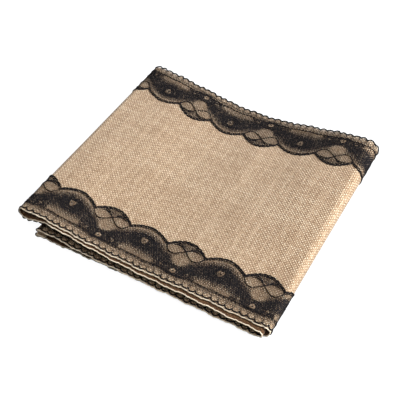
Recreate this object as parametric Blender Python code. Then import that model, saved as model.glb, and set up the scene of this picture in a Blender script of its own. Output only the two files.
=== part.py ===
"""A jute table runner with a lace trim along each long edge, folded into four layers.

Every piece is first laid out flat, the way it was cut and sewn. There s is the distance along the
cloth from its first raw end, y is the distance from its front edge, and h is the height
over the middle of the cloth on its right side, which carries the lace. folded() then carries each
point to its place in the bundle: the cloth is folded in half, right side out, and in half again.

The bundle lies on z = 0. Its folds run along Y, X runs from the left fold to the right folds, and
the free ends lie at the bottom left.
"""
import bmesh
import bpy
import numpy as np

# ---------------------------------------------------------------- driving dimensions, in metres
CLOTH_WIDTH = 0.298          # front edge to rear edge
FOLDED_LENGTH = 0.319        # left fold to outer right fold, at the middle of the cloth
CLOTH_THICK = 0.0013
PIECE_GAP = 0.0003           # clearance between pieces that touch

LACE_DEPTH = 0.059           # outer edge of the lace to the top of a scallop
SCALLOP_CUT = 0.012          # how far the lace dips between two scallops
SCALLOP_LENGTH = 0.048       # two scallops, one with a flower, make one repeat of the lace
LACE_THICK = 0.0008          # where its cords lie
NET_THICK = 0.00025          # plain net, under the stitches
FRONT_LACE_EDGE = 0.001      # the front lace stops this far inside the cloth
REAR_LACE_EDGE = -0.0025     # the rear lace stands this far past the cloth
FRONT_SCALLOP_START = 0.0275 # first dip of the lace, from the left fold along the top layer
REAR_SCALLOP_START = 0.0210

STITCH_INSET = 0.009         # stitch row that holds the lace, from the lace's outer edge
THREAD_WIDTH = 0.0006
THREAD_THICK = 0.0002

HEM_DEPTH = 0.013            # cloth turned under at each end
HEM_STITCH_INSET = 0.009     # hem stitch row, from the folded end
LOWER_END = 0.024            # folded end of the bottom layer, from the left fold
UPPER_END = 0.028            # folded end of the layer on it
END_AIR = 0.0003             # between the two hems where they lie on each other
END_LIFT_LENGTH = 0.060      # over which the upper layer comes down from its hem

LOOP_HEIGHT = 0.0120         # open loop of the left fold, between the middles of its two layers
LOOP_LENGTH = 0.048          # where that loop has closed
INNER_FOLD_INSET = 0.0115    # the inner right fold stops this far short of the outer one

# Air between the two inner layers, as (at the front edge, at the rear edge)
AIR_LEFT = (0.0210, 0.0120)
AIR_MIDDLE = (0.0065, 0.0010)
AIR_RIGHT = (0.0040, 0.0160)

# Sideways lie of the layers: towards the front (-) at the free ends and at the inner right fold
LOWER_END_SHIFT = -0.0050
UPPER_END_SHIFT = -0.0065
INNER_FOLD_SHIFT = -0.0075
REAR_BOW = -0.0070           # the upper layers' rear edge curves in halfway along

# ---------------------------------------------------------------- how finely the pieces are made
RUN_STEPS = 21               # along each straight run of the cloth
WIDTH_STEPS = 8
FOLD_STEPS = 7               # around each fold
HEM_FOLD_STEPS = 4
HEM_STEPS = 2
LOOP_STEPS = 8               # along the closing side of the open left loop
SCALLOP_STEPS = 5
TABLE_STEPS = 60             # points for each stretch when the cloth's length is measured

# ---------------------------------------------------------------- sizes worked out from those
FACE_BUILD = PIECE_GAP + LACE_THICK                  # lace on the right side
BACK_BUILD = PIECE_GAP + THREAD_THICK                # stitches on the wrong side
BACK_PITCH = CLOTH_THICK + 2 * BACK_BUILD + PIECE_GAP
FACE_PITCH = CLOTH_THICK + 2 * FACE_BUILD + PIECE_GAP
HEM_PITCH = CLOTH_THICK + BACK_BUILD + PIECE_GAP
HEM_RADIUS = HEM_PITCH / 2
HEM_STACK = 2 * HEM_PITCH + CLOTH_THICK + FACE_BUILD + BACK_BUILD + PIECE_GAP
END_LIFT = HEM_STACK - BACK_PITCH + END_AIR          # how far the upper hem rides up
LOWER_HEIGHT = CLOTH_THICK / 2 + FACE_BUILD          # middle of the bottom layer
UPPER_HEIGHT = LOWER_HEIGHT + BACK_PITCH
STACK_HEIGHT = UPPER_HEIGHT + FACE_PITCH + BACK_PITCH
HALF_LENGTH = FOLDED_LENGTH / 2
LOOP_RADIUS = LOOP_HEIGHT / 2
LOOP_SHARE = LOOP_LENGTH / (FOLDED_LENGTH - INNER_FOLD_INSET - FACE_PITCH)   # of the second run

# Stretches of the cloth, in order. Station 3.5 is halfway round the outer right fold.
LOWER_HEM, LOWER_HEM_FOLD, LOWER_RUN, OUTER_FOLD, TOP_RUN, LEFT_FOLD = range(6)
SECOND_RUN, INNER_FOLD, UPPER_RUN, UPPER_HEM_FOLD, UPPER_HEM = range(6, 11)
STRETCHES = 11
FOLDS = (LOWER_HEM_FOLD, OUTER_FOLD, LEFT_FOLD, INNER_FOLD, UPPER_HEM_FOLD)


def ease(t):
    """1 at t = 0, falling to 0 at t = 1, level at both: half a cosine wave."""
    return 0.5 + 0.5 * np.cos(np.pi * np.clip(t, 0.0, 1.0))


def between(pair, v):
    """The value at the fraction v of the way from the front edge to the rear edge."""
    return pair[0] * (1 - v) + pair[1] * v


def top_height(x, v):
    """Middle of the top layer: the stack, and the air that lifts it at both folds."""
    middle = between(AIR_MIDDLE, v)
    left = (between(AIR_LEFT, v) - middle) * ease(x / HALF_LENGTH)
    right = (between(AIR_RIGHT, v) - middle) * ease((FOLDED_LENGTH - x) / HALF_LENGTH)
    return STACK_HEIGHT + middle + left + right


def second_height(x, v):
    """Middle of the second layer, which parts from the top layer in the open left loop."""
    return top_height(x, v) - BACK_PITCH - (LOOP_HEIGHT - BACK_PITCH) * ease(x / LOOP_LENGTH)


def upper_run_height(x):
    """Middle of the third layer, which rides up over the hems at its free end."""
    hem_rise = END_LIFT * ease((x - UPPER_END - HEM_DEPTH) / END_LIFT_LENGTH)
    return UPPER_HEIGHT + hem_rise


def run(x, height):
    """A stretch that lies flat or in a shallow wave."""
    return np.stack([x, height + 0 * x])


def bend(x, start, end, side, t):
    """Half a turn from the height start to the height end, bulging to side (+1 is right)."""
    radius = np.abs(start - end) / 2
    return np.stack([x + side * radius * np.sin(np.pi * t),
                     (start + end) / 2 + (start - end) / 2 * np.cos(np.pi * t)])


def section(station, v):
    """Place in X and Z of the cloth's middle at each station, from 0 to STRETCHES."""
    stretch = np.clip(np.floor(station), 0, STRETCHES - 1)
    t = station - stretch
    outer_radius = (STACK_HEIGHT + between(AIR_RIGHT, v) - LOWER_HEIGHT) / 2
    inner_radius = (FACE_PITCH + between(AIR_RIGHT, v)) / 2
    outer_x = FOLDED_LENGTH - outer_radius
    inner_x = FOLDED_LENGTH - INNER_FOLD_INSET - inner_radius
    lower_x = LOWER_END + HEM_RADIUS
    upper_x = UPPER_END + HEM_RADIUS
    hem_run = HEM_DEPTH - HEM_RADIUS

    def across(start, end):
        return start + (end - start) * t

    second_end = second_height(inner_x, v)
    left_top, left_low = top_height(LOOP_RADIUS, v), second_height(LOOP_RADIUS, v)
    upper_end = upper_run_height(upper_x)
    top_x = across(outer_x, LOOP_RADIUS)
    second_x = across(LOOP_RADIUS, inner_x)
    upper_run_x = across(inner_x, upper_x)
    hem_x = across(upper_x, upper_x + hem_run)
    places = {
        LOWER_HEM: run(across(lower_x + hem_run, lower_x), LOWER_HEIGHT + HEM_PITCH),
        LOWER_HEM_FOLD: bend(lower_x, LOWER_HEIGHT + HEM_PITCH, LOWER_HEIGHT, -1, t),
        LOWER_RUN: run(across(lower_x, outer_x), LOWER_HEIGHT),
        OUTER_FOLD: bend(outer_x, LOWER_HEIGHT, top_height(outer_x, v), 1, t),
        TOP_RUN: run(top_x, top_height(top_x, v)),
        LEFT_FOLD: bend(LOOP_RADIUS, left_top, left_low, -1, t),
        SECOND_RUN: run(second_x, second_height(second_x, v)),
        INNER_FOLD: bend(inner_x, second_end, UPPER_HEIGHT, 1, t),
        UPPER_RUN: run(upper_run_x, upper_run_height(upper_run_x)),
        UPPER_HEM_FOLD: bend(upper_x, upper_end, upper_end - HEM_PITCH, -1, t),
        UPPER_HEM: run(hem_x, upper_run_height(hem_x) - HEM_PITCH),
    }
    return np.select([stretch == n for n in range(STRETCHES)], [places[n] for n in range(STRETCHES)])


def sideways(station, x, v):
    """How far the cloth lies from straight, along Y."""
    stations = (LOWER_RUN, OUTER_FOLD + 0.5, LEFT_FOLD + 0.5, INNER_FOLD + 0.5, UPPER_HEM_FOLD)
    shifts = (LOWER_END_SHIFT, 0.0, 0.0, INNER_FOLD_SHIFT, UPPER_END_SHIFT)
    upper_layers = (station >= OUTER_FOLD) & (station <= INNER_FOLD + 1)
    bow = REAR_BOW * v * np.sin(np.pi * np.clip(x / FOLDED_LENGTH, 0, 1)) ** 2
    return np.interp(station, stations, shifts) + np.where(upper_layers, bow, 0.0)


TABLE_STATION = np.linspace(0.0, STRETCHES, STRETCHES * TABLE_STEPS + 1)
TABLE_STEP = np.linalg.norm(np.diff(section(TABLE_STATION, 0.5), axis=1), axis=0)
TABLE_LENGTH = np.concatenate([[0.0], np.cumsum(TABLE_STEP)])
CLOTH_LENGTH = TABLE_LENGTH[-1]
LEFT_FOLD_LENGTH = np.interp(LEFT_FOLD + 0.5, TABLE_STATION, TABLE_LENGTH)


def length_at(station):
    """Distance s along the flat cloth at a station."""
    return np.interp(station, TABLE_STATION, TABLE_LENGTH)


def folded(s, y, h):
    """Carry the flat points (s, y, h) to their places in the folded bundle."""
    station = np.interp(s, TABLE_LENGTH, TABLE_STATION)
    v = y / CLOTH_WIDTH
    small = 1e-4
    ahead = section(np.minimum(station + small, STRETCHES), v)
    behind = section(np.maximum(station - small, 0.0), v)
    tangent = (ahead - behind) / np.linalg.norm(ahead - behind, axis=0)
    x, z = section(station, v) + h * np.stack([tangent[1], -tangent[0]])
    return np.stack([x, y + sideways(station, x, v), z], axis=-1)


def cross_lines(first, last, run_steps=RUN_STEPS):
    """Distances s of the cross lines of a piece that reaches from one station to another."""
    lines = []
    for stretch in range(STRETCHES):
        steps = run_steps
        if stretch in FOLDS:
            steps = FOLD_STEPS
        if stretch in (LOWER_HEM_FOLD, UPPER_HEM_FOLD):
            steps = HEM_FOLD_STEPS
        if stretch in (LOWER_HEM, UPPER_HEM):
            steps = HEM_STEPS
        along = np.arange(steps) / steps
        if stretch == SECOND_RUN:
            beyond = LOOP_SHARE + (1 - LOOP_SHARE) * along
            along = np.append(LOOP_SHARE * np.arange(LOOP_STEPS) / LOOP_STEPS, beyond)
        lines.append(stretch + along)
    lines = np.append(np.concatenate(lines), STRETCHES)
    return length_at(lines[(lines >= first) & (lines <= last)])


def bends(s):
    """True where the cloth is bent tightly at the flat distance s."""
    station = np.interp(s, TABLE_LENGTH, TABLE_STATION)
    closing = (station > SECOND_RUN) & (station < SECOND_RUN + LOOP_SHARE)
    return np.isin(np.floor(station), FOLDS) | closing


# ---------------------------------------------------------------- pieces
for old in list(bpy.data.objects):
    bpy.data.objects.remove(old)
collection = bpy.data.collections.new("jute_table_runner")
bpy.context.scene.collection.children.link(collection)


def look(name, colour, roughness):
    """A matt textile finish."""
    material = bpy.data.materials.new(name)
    material.use_nodes = True
    shader = material.node_tree.nodes["Principled BSDF"]
    shader.inputs["Base Color"].default_value = (*colour, 1.0)
    shader.inputs["Roughness"].default_value = roughness
    shader.inputs["Metallic"].default_value = 0.0
    return material


JUTE = look("natural_jute", (0.55, 0.41, 0.27), 0.95)
LACE = look("black_lace", (0.03, 0.027, 0.025), 0.8)
BLACK_THREAD = look("black_thread", (0.02, 0.02, 0.02), 0.6)
TAN_THREAD = look("tan_thread", (0.5, 0.38, 0.26), 0.6)


def strip(name, along, across, low, thick, material):
    """Cut a strip flat, give it its thickness and fold it.

    along holds the distance s of each cross line, across the y of each long line (one number, or
    one for each cross line), low the height h of its lower side, thick its thickness on each long line.
    """
    blank = bmesh.new()
    bmesh.ops.create_grid(blank, x_segments=len(along) - 1, y_segments=len(across) - 1, size=1.0)
    bmesh.ops.solidify(blank, geom=blank.faces[:], thickness=1.0)
    mesh = bpy.data.meshes.new(name)
    bmesh.ops.recalc_face_normals(blank, faces=blank.faces[:])
    blank.to_mesh(mesh)
    blank.free()

    flat = np.empty(len(mesh.vertices) * 3)
    mesh.vertices.foreach_get("co", flat)
    flat = flat.reshape(-1, 3)
    cross_line = np.rint((flat[:, 0] + 1) / 2 * (len(along) - 1)).astype(int)
    long_line = np.rint((flat[:, 1] + 1) / 2 * (len(across) - 1)).astype(int)
    upper_side = flat[:, 2] > flat[:, 2].mean()
    table = np.array([np.broadcast_to(line, len(along)) for line in across])
    height = low + np.where(upper_side, np.asarray(thick)[long_line], 0.0)
    place = folded(np.asarray(along)[cross_line], table[long_line, cross_line], height)

    mesh.vertices.foreach_set("co", place.ravel())
    mesh.flip_normals()          # the flat cloth seen from its right side is a mirror image
    mesh.materials.append(material)
    mesh.update()
    piece = bpy.data.objects.new(name, mesh)
    collection.objects.link(piece)
    return piece


def jute_cloth():
    """The runner itself: one length of jute with a hem turned under at each end."""
    along = cross_lines(0, STRETCHES)
    across = np.linspace(0.0, CLOTH_WIDTH, WIDTH_STEPS + 1)
    thick = [CLOTH_THICK] * len(across)
    strip("jute_cloth", along, across, -CLOTH_THICK / 2, thick, JUTE)


def lace_trim(name, outer_edge, inward, first_dip):
    """Lace along one long edge, with scallops towards the middle of the cloth.

    It turns round both folded ends, and is thin along the row of stitches that holds it.
    """
    scallop = SCALLOP_LENGTH / SCALLOP_STEPS
    dips = LEFT_FOLD_LENGTH - first_dip
    count = int(CLOTH_LENGTH / scallop)
    marks = dips + scallop * np.arange(-count, count + 1)
    ends = length_at(np.array([LOWER_HEM_FOLD, UPPER_HEM]))
    folds = cross_lines(LOWER_HEM_FOLD, UPPER_HEM, 1)
    marks = marks[(marks > ends[0]) & (marks < ends[1])]
    marks = marks[~bends(marks)]
    apart = np.abs(marks[:, None] - folds[None, :]).min(axis=1) > scallop / 4
    along = np.sort(np.concatenate([folds, marks[apart]]))

    wave = np.abs(np.sin(np.pi * (along - dips) / SCALLOP_LENGTH))
    depth = LACE_DEPTH - SCALLOP_CUT * (1 - wave)
    lines = (0.0, STITCH_INSET, 2 * STITCH_INSET, depth)
    across = [outer_edge + inward * line for line in lines]
    thick = [LACE_THICK, NET_THICK, LACE_THICK, LACE_THICK]
    if inward < 0:
        across, thick = across[::-1], thick[::-1]
    strip(name, along, across, CLOTH_THICK / 2 + PIECE_GAP, thick, LACE)


def lace_stitches(name, outer_edge, inward):
    """The needle thread on the lace and the bobbin thread behind the cloth, from hem to hem."""
    along = cross_lines(LOWER_RUN, UPPER_HEM_FOLD)
    middle = outer_edge + inward * STITCH_INSET
    across = (middle - THREAD_WIDTH / 2, middle + THREAD_WIDTH / 2)
    on_lace = CLOTH_THICK / 2 + 2 * PIECE_GAP + NET_THICK
    behind = -CLOTH_THICK / 2 - PIECE_GAP - THREAD_THICK
    thick = [THREAD_THICK] * 2
    strip(name + "_needle_thread", along, across, on_lace, thick, BLACK_THREAD)
    strip(name + "_bobbin_thread", along, across, behind, thick, BLACK_THREAD)


def hem_stitches(name, folded_end, inward):
    """A row across each hem, between the two laces.

    The needle thread lies on the right side of the runner, the bobbin thread on the turned-in part.
    """
    clear = LACE_DEPTH + 3 * PIECE_GAP
    across = np.linspace(FRONT_LACE_EDGE + clear, CLOTH_WIDTH - REAR_LACE_EDGE - clear, WIDTH_STEPS)
    thick = [THREAD_THICK] * len(across)
    distance = HEM_STITCH_INSET - HEM_RADIUS
    above = CLOTH_THICK / 2 + PIECE_GAP
    for part, start, way in (("needle", 1, 1), ("bobbin", 0, -1)):
        turn = length_at(folded_end + start) if inward > 0 else length_at(folded_end + 1 - start)
        row = turn + way * inward * distance
        along = (row - THREAD_WIDTH / 2, row + THREAD_WIDTH / 2)
        strip(f"{name}_{part}_thread", along, across, above, thick, TAN_THREAD)


jute_cloth()
FRONT = (FRONT_LACE_EDGE, 1)
REAR = (CLOTH_WIDTH - REAR_LACE_EDGE, -1)
lace_trim("front_lace_trim", *FRONT, FRONT_SCALLOP_START)
lace_trim("rear_lace_trim", *REAR, REAR_SCALLOP_START)
lace_stitches("front_lace", *FRONT)
lace_stitches("rear_lace", *REAR)
hem_stitches("lower_hem", LOWER_HEM_FOLD, 1)
hem_stitches("upper_hem", UPPER_HEM_FOLD, -1)

# The bundle's box is centred on the origin, standing on z = 0.
corners = np.array([vertex.co for piece in collection.objects for vertex in piece.data.vertices])
low, high = corners.min(axis=0), corners.max(axis=0)
offset = np.array([(low[0] + high[0]) / 2, (low[1] + high[1]) / 2, low[2]])
for piece in collection.objects:
    places = np.array([vertex.co for vertex in piece.data.vertices]) - offset
    piece.data.vertices.foreach_set("co", places.ravel())
    piece.data.update()

print(f"cloth {CLOTH_LENGTH * 1000:.0f} x {CLOTH_WIDTH * 1000:.0f} mm, {len(collection.objects)} pieces")
print("box, mm:", np.round((high - low) * 1000, 1), "offset, mm:", np.round(offset * 1000, 2))
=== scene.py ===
# %% [markdown]
# # A folded jute runner with black lace along its edges
#
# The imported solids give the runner's size and the lie of its layers. This script covers them with
# what the eye meets: woven jute, lace with real holes, the cords in the lace, stitches and loose
# fibres. All of it is first laid out flat, as it was cut and sewn, and then folded by one function.

import bpy
import numpy as np
from mathutils import Matrix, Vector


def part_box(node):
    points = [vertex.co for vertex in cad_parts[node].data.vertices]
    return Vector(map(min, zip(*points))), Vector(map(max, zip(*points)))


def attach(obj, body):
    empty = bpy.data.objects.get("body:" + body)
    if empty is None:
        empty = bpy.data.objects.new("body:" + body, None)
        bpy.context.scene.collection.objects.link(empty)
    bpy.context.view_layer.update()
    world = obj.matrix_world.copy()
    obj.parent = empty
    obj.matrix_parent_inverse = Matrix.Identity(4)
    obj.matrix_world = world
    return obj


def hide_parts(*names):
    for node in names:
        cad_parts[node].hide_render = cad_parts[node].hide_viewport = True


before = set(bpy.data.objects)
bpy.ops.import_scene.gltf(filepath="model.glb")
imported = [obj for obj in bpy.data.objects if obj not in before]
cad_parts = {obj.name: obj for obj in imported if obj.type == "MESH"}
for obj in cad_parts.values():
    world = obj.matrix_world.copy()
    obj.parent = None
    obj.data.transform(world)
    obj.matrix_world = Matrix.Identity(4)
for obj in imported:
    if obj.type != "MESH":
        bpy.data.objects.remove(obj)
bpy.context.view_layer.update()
MM = 0.001

# %% [markdown]
# ## The lie of the cloth
#
# The runner is folded in half with its right side out, and in half again. Seen from the front, the
# cloth is one line that runs to and fro: along the bottom, round the outer right fold, back over
# the top, round the open left loop, and in again. A cloth simulation could fold it, but four layers
# in contact take long and settle where they like, so named sizes put each layer where the packed
# solids have it. Each place on the cloth has a station: a whole number where one stretch ends and
# the next begins.

# %% Sizes of the folded cloth, in metres
CLOTH_WIDTH = 0.298
FOLDED_LENGTH = 0.319
CLOTH_THICK = 0.0013
PIECE_GAP = 0.0003
LACE_THICK = 0.0008
THREAD_THICK = 0.0002
HEM_DEPTH = 0.013
LOWER_END, UPPER_END = 0.024, 0.028  # the two free ends, from the left fold
END_AIR, END_LIFT_LENGTH = 0.0003, 0.060
LOOP_HEIGHT, LOOP_LENGTH = 0.0120, 0.048
INNER_FOLD_INSET = 0.0055            # the inner right fold stays this far inside the outer one
AIR_LEFT = (0.0210, 0.0120)          # air between the inner layers at the front and rear edge
AIR_MIDDLE = (0.0065, 0.0010)
AIR_RIGHT = (0.0040, 0.0160)
LOWER_END_SHIFT = -0.0050            # the layers lie askew, so each is shifted along Y
UPPER_END_SHIFT = -0.0065
INNER_FOLD_SHIFT = -0.0075
REAR_BOW = -0.0070                   # the rear edge of the upper layers bows inwards
FRONT_CURL = 0.0060                  # the front edge of the third layer curls up this much
CURL_WIDTH = 0.16                    # share of the cloth's width that curls
CURL_STOP = 0.03                     # it lies flat again this far from the right end

FACE_BUILD = PIECE_GAP + LACE_THICK
BACK_BUILD = PIECE_GAP + THREAD_THICK
BACK_PITCH = CLOTH_THICK + 2 * BACK_BUILD + PIECE_GAP
FACE_PITCH = CLOTH_THICK + 2 * FACE_BUILD + PIECE_GAP
HEM_PITCH = CLOTH_THICK + BACK_BUILD + PIECE_GAP
HEM_RADIUS = HEM_PITCH / 2
HEM_STACK = 2 * HEM_PITCH + CLOTH_THICK + FACE_BUILD + BACK_BUILD + PIECE_GAP
END_LIFT = HEM_STACK - BACK_PITCH + END_AIR
LOWER_HEIGHT = CLOTH_THICK / 2 + FACE_BUILD
UPPER_HEIGHT = LOWER_HEIGHT + BACK_PITCH
STACK_HEIGHT = UPPER_HEIGHT + FACE_PITCH + BACK_PITCH
HALF_LENGTH = FOLDED_LENGTH / 2
LOOP_RADIUS = LOOP_HEIGHT / 2

LOWER_HEM, LOWER_HEM_FOLD, LOWER_RUN, OUTER_FOLD, TOP_RUN, LEFT_FOLD = range(6)
SECOND_RUN, INNER_FOLD, UPPER_RUN, UPPER_HEM_FOLD, UPPER_HEM = range(6, 11)
STRETCHES = 11

# %% [markdown]
# ## Small unevenness
#
# Soft cloth is never as straight as its drawing. Random noise could shake it, but sine waves are
# smooth and easy to steer. One sum of them gives the top a shallow swell of half a millimetre, and
# one lets the long edges wander a little to each side. Their wavelengths have no common multiple,
# so nothing visibly repeats.

# %% Swell of the top and wander of the edges
SWELL = 0.0005
WANDER = 0.0005


def swell(x, v):
    """z = SWELL (sin 61x sin(5v + 1) + 0.6 sin(97x + 2) sin(11v))."""
    return SWELL * (np.sin(61 * x) * np.sin(5 * v + 1) + 0.6 * np.sin(97 * x + 2) * np.sin(11 * v))


def wander(s, v):
    """y = WANDER (sin 173s + 0.7 sin(391s + 1) + 0.4 sin(907s)) (2v - 1)^5, strongest at the edges."""
    waves = np.sin(173 * s) + 0.7 * np.sin(391 * s + 1) + 0.4 * np.sin(907 * s)
    return WANDER * waves * (2 * v - 1) ** 5


# %% [markdown]
# ## From flat to folded
#
# A flat place is s along the cloth, y across it and h above its middle on the right side, the side
# with the lace. Bend modifiers could fold a flat model, but each piece would stretch in its own way.
# Here section() gives the folded line in X and Z. folded() walks to s along that line and steps out
# by h, square to it, so the lace and the stitches follow the cloth round every fold.

# %% The folded line


def ease(t):
    """(1 + cos(pi t)) / 2, from 1 at t = 0 to 0 at t = 1."""
    return 0.5 + 0.5 * np.cos(np.pi * np.clip(t, 0.0, 1.0))


def between(pair, v):
    """pair[0] (1 - v) + pair[1] v, from the front edge to the rear edge."""
    return pair[0] * (1 - v) + pair[1] * v


def top_height(x, v):
    """Middle of the top layer: the stack and the air that lifts it at both folds."""
    middle = between(AIR_MIDDLE, v)
    left = (between(AIR_LEFT, v) - middle) * ease(x / HALF_LENGTH)
    right = (between(AIR_RIGHT, v) - middle) * ease((FOLDED_LENGTH - x) / HALF_LENGTH)
    return STACK_HEIGHT + middle + left + right + swell(x, v)


def second_height(x, v):
    """Middle of the second layer, which parts from the top layer in the left loop."""
    return top_height(x, v) - BACK_PITCH - (LOOP_HEIGHT - BACK_PITCH) * ease(x / LOOP_LENGTH)


def upper_run_height(x):
    """Middle of the third layer, which rides up over the hems at its free end."""
    return UPPER_HEIGHT + END_LIFT * ease((x - UPPER_END - HEM_DEPTH) / END_LIFT_LENGTH)


def curl(x, v):
    """Rise of the third layer's front edge, from FRONT_CURL at the free end to 0 at the inner fold."""
    return FRONT_CURL * ease(v / CURL_WIDTH) * ease(x / (FOLDED_LENGTH - CURL_STOP))


def bend(x, start, end, side, t):
    """Half a circle: x + side r sin(pi t), and from the height start to end as cos(pi t)."""
    radius = np.abs(start - end) / 2
    return np.stack([x + side * radius * np.sin(np.pi * t),
                     (start + end) / 2 + (start - end) / 2 * np.cos(np.pi * t)])


def section(station, v):
    """X and Z of the cloth's middle at a station from 0 to STRETCHES: runs joined by half circles."""
    stretch = np.clip(np.floor(station), 0, STRETCHES - 1)
    t = station - stretch
    outer_radius = (STACK_HEIGHT + between(AIR_RIGHT, v) - LOWER_HEIGHT) / 2
    inner_radius = (FACE_PITCH + between(AIR_RIGHT, v)) / 2
    outer_x = FOLDED_LENGTH - outer_radius
    inner_x = FOLDED_LENGTH - INNER_FOLD_INSET - inner_radius
    lower_x, upper_x = LOWER_END + HEM_RADIUS, UPPER_END + HEM_RADIUS
    hem_run = HEM_DEPTH - HEM_RADIUS

    def run(start, end, height):
        x = start + (end - start) * t
        return np.stack([x, height(x) + 0 * x])

    second_end = second_height(inner_x, v)
    left_top, left_low = top_height(LOOP_RADIUS, v), second_height(LOOP_RADIUS, v)
    upper_end = upper_run_height(upper_x) + curl(upper_x, v)
    hem_height = LOWER_HEIGHT + HEM_PITCH
    places = {
        LOWER_HEM: run(lower_x + hem_run, lower_x, lambda x: hem_height),
        LOWER_HEM_FOLD: bend(lower_x, hem_height, LOWER_HEIGHT, -1, t),
        LOWER_RUN: run(lower_x, outer_x, lambda x: LOWER_HEIGHT),
        OUTER_FOLD: bend(outer_x, LOWER_HEIGHT, top_height(outer_x, v), 1, t),
        TOP_RUN: run(outer_x, LOOP_RADIUS, lambda x: top_height(x, v)),
        LEFT_FOLD: bend(LOOP_RADIUS, left_top, left_low, -1, t),
        SECOND_RUN: run(LOOP_RADIUS, inner_x, lambda x: second_height(x, v)),
        INNER_FOLD: bend(inner_x, second_end, UPPER_HEIGHT, 1, t),
        UPPER_RUN: run(inner_x, upper_x, lambda x: upper_run_height(x) + curl(x, v)),
        UPPER_HEM_FOLD: bend(upper_x, upper_end, upper_end - HEM_PITCH, -1, t),
        UPPER_HEM: run(upper_x, upper_x + hem_run, lambda x: upper_run_height(x) + curl(x, v) - HEM_PITCH),
    }
    return np.select([stretch == n for n in range(STRETCHES)], [places[n] for n in range(STRETCHES)])


def sideways(station, x, v):
    """How far the cloth lies from straight along Y: shifts at the folds, and the rear edge's bow."""
    stations = (LOWER_RUN, OUTER_FOLD + 0.5, LEFT_FOLD + 0.5, INNER_FOLD + 0.5, UPPER_HEM_FOLD)
    shifts = (LOWER_END_SHIFT, 0.0, 0.0, INNER_FOLD_SHIFT, UPPER_END_SHIFT)
    upper_layers = (station >= OUTER_FOLD) & (station <= INNER_FOLD + 1)
    bow = REAR_BOW * v * np.sin(np.pi * np.clip(x / FOLDED_LENGTH, 0, 1)) ** 2
    return np.interp(station, stations, shifts) + np.where(upper_layers, bow, 0.0)


# %% Lengths along the flat cloth
STEPS_PER_STRETCH = 60
TABLE_STATION = np.linspace(0.0, STRETCHES, STRETCHES * STEPS_PER_STRETCH + 1)
TABLE_STEP = np.linalg.norm(np.diff(section(TABLE_STATION, 0.5), axis=1), axis=0)
TABLE_LENGTH = np.concatenate([[0.0], np.cumsum(TABLE_STEP)])
CLOTH_LENGTH = TABLE_LENGTH[-1]


def length_at(station):
    """Distance s along the flat cloth at a station."""
    return np.interp(station, TABLE_STATION, TABLE_LENGTH)


LEFT_FOLD_LENGTH = length_at(LEFT_FOLD + 0.5)


def folded(s, y, h):
    """P = section(s) + h n, with n square to the line, shifted along Y as the layers lie."""
    station = np.interp(s, TABLE_LENGTH, TABLE_STATION)
    v = y / CLOTH_WIDTH
    small = 1e-4
    ahead = section(np.minimum(station + small, STRETCHES), v)
    behind = section(np.maximum(station - small, 0.0), v)
    tangent = (ahead - behind) / np.linalg.norm(ahead - behind, axis=0)
    x, z = section(station, v) + h * np.stack([tangent[1], -tangent[0]])
    return np.stack([x, y + sideways(station, x, v) + wander(s, v), z], axis=-1)


print(f"cloth, flat: {CLOTH_LENGTH * 1000:.0f} x {CLOTH_WIDTH * 1000:.0f} mm")

# %% [markdown]
# ## Where the frame puts it
#
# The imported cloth's own box says where the bundle stands. The folded line is drawn once, its
# extremes are compared with that box, and the difference is the shift that every piece gets.

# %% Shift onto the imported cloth
line_s, line_y = np.meshgrid(np.linspace(0, CLOTH_LENGTH, 1500), np.linspace(0, CLOTH_WIDTH, 9))
faces_of_cloth = [folded(line_s, line_y, side * CLOTH_THICK / 2) for side in (-1, 1)]
places = np.concatenate([part.reshape(-1, 3) for part in faces_of_cloth])
box_low, box_high = (np.array(corner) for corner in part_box("jute_cloth"))
shift = (box_low + box_high) / 2 - (places.min(axis=0) + places.max(axis=0)) / 2
shift[2] = box_low[2] - places[:, 2].min()


def placed(s, y, h):
    """folded(s, y, h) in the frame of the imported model."""
    s, y, h = np.broadcast_arrays(s, y, h)
    return folded(s, y, h) + shift


print("shift, mm:", np.round(shift * 1000, 2).tolist())

# %% [markdown]
# ## Turning arrays into pieces
#
# A loop that makes one face at a time would be slow with this many, so every surface below is an
# array of points and arrays of face corners, which go into the mesh at once. The bake map is worked
# out from the flat places, so a pattern baked along it follows the cloth. A second map holds the
# flat place itself in metres, which is what the weave reads.

# %% Mesh helper
pieces = {}


def piece(name, points, faces, flat=None, bake=None, flip=False):
    """A mesh from points (n, 3) and a list of face arrays, each (count, corners)."""
    faces = [np.ascontiguousarray(part[:, ::-1] if flip else part) for part in faces if len(part)]
    corners = np.concatenate([part.ravel() for part in faces]).astype(np.int32)
    sizes = np.concatenate([np.full(len(part), part.shape[1]) for part in faces])
    mesh = bpy.data.meshes.new(name)
    mesh.vertices.add(len(points))
    mesh.vertices.foreach_set("co", np.asarray(points, np.float32).ravel())
    mesh.loops.add(len(corners))
    mesh.loops.foreach_set("vertex_index", corners)
    mesh.polygons.add(len(sizes))
    mesh.polygons.foreach_set("loop_start", np.concatenate([[0], np.cumsum(sizes)[:-1]]).astype(np.int32))
    mesh.update(calc_edges=True)
    mesh.shade_smooth()
    for title, values in (("OFBake", bake), ("flat", flat)):
        if values is not None:
            layer = mesh.uv_layers.new(name=title)
            layer.data.foreach_set("uv", np.asarray(values, np.float32)[corners].ravel())
    made = bpy.data.objects.new(name, mesh)
    bpy.context.scene.collection.objects.link(made)
    pieces[name] = made
    triangles = int((sizes - 2).sum())
    print(f"{name}: {triangles} triangles")
    return made


def quads(rows, columns, wrap_rows=False, wrap_columns=False):
    """Corner indices of the quads of a grid of points stored row by row."""
    r = np.arange(rows if wrap_rows else rows - 1)[:, None]
    c = np.arange(columns if wrap_columns else columns - 1)[None, :]
    below, beside = (r + 1) % rows, (c + 1) % columns
    square = [r * columns + c, below * columns + c, below * columns + beside, r * columns + beside]
    return np.stack(np.broadcast_arrays(*square), axis=-1).reshape(-1, 4)
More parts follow.
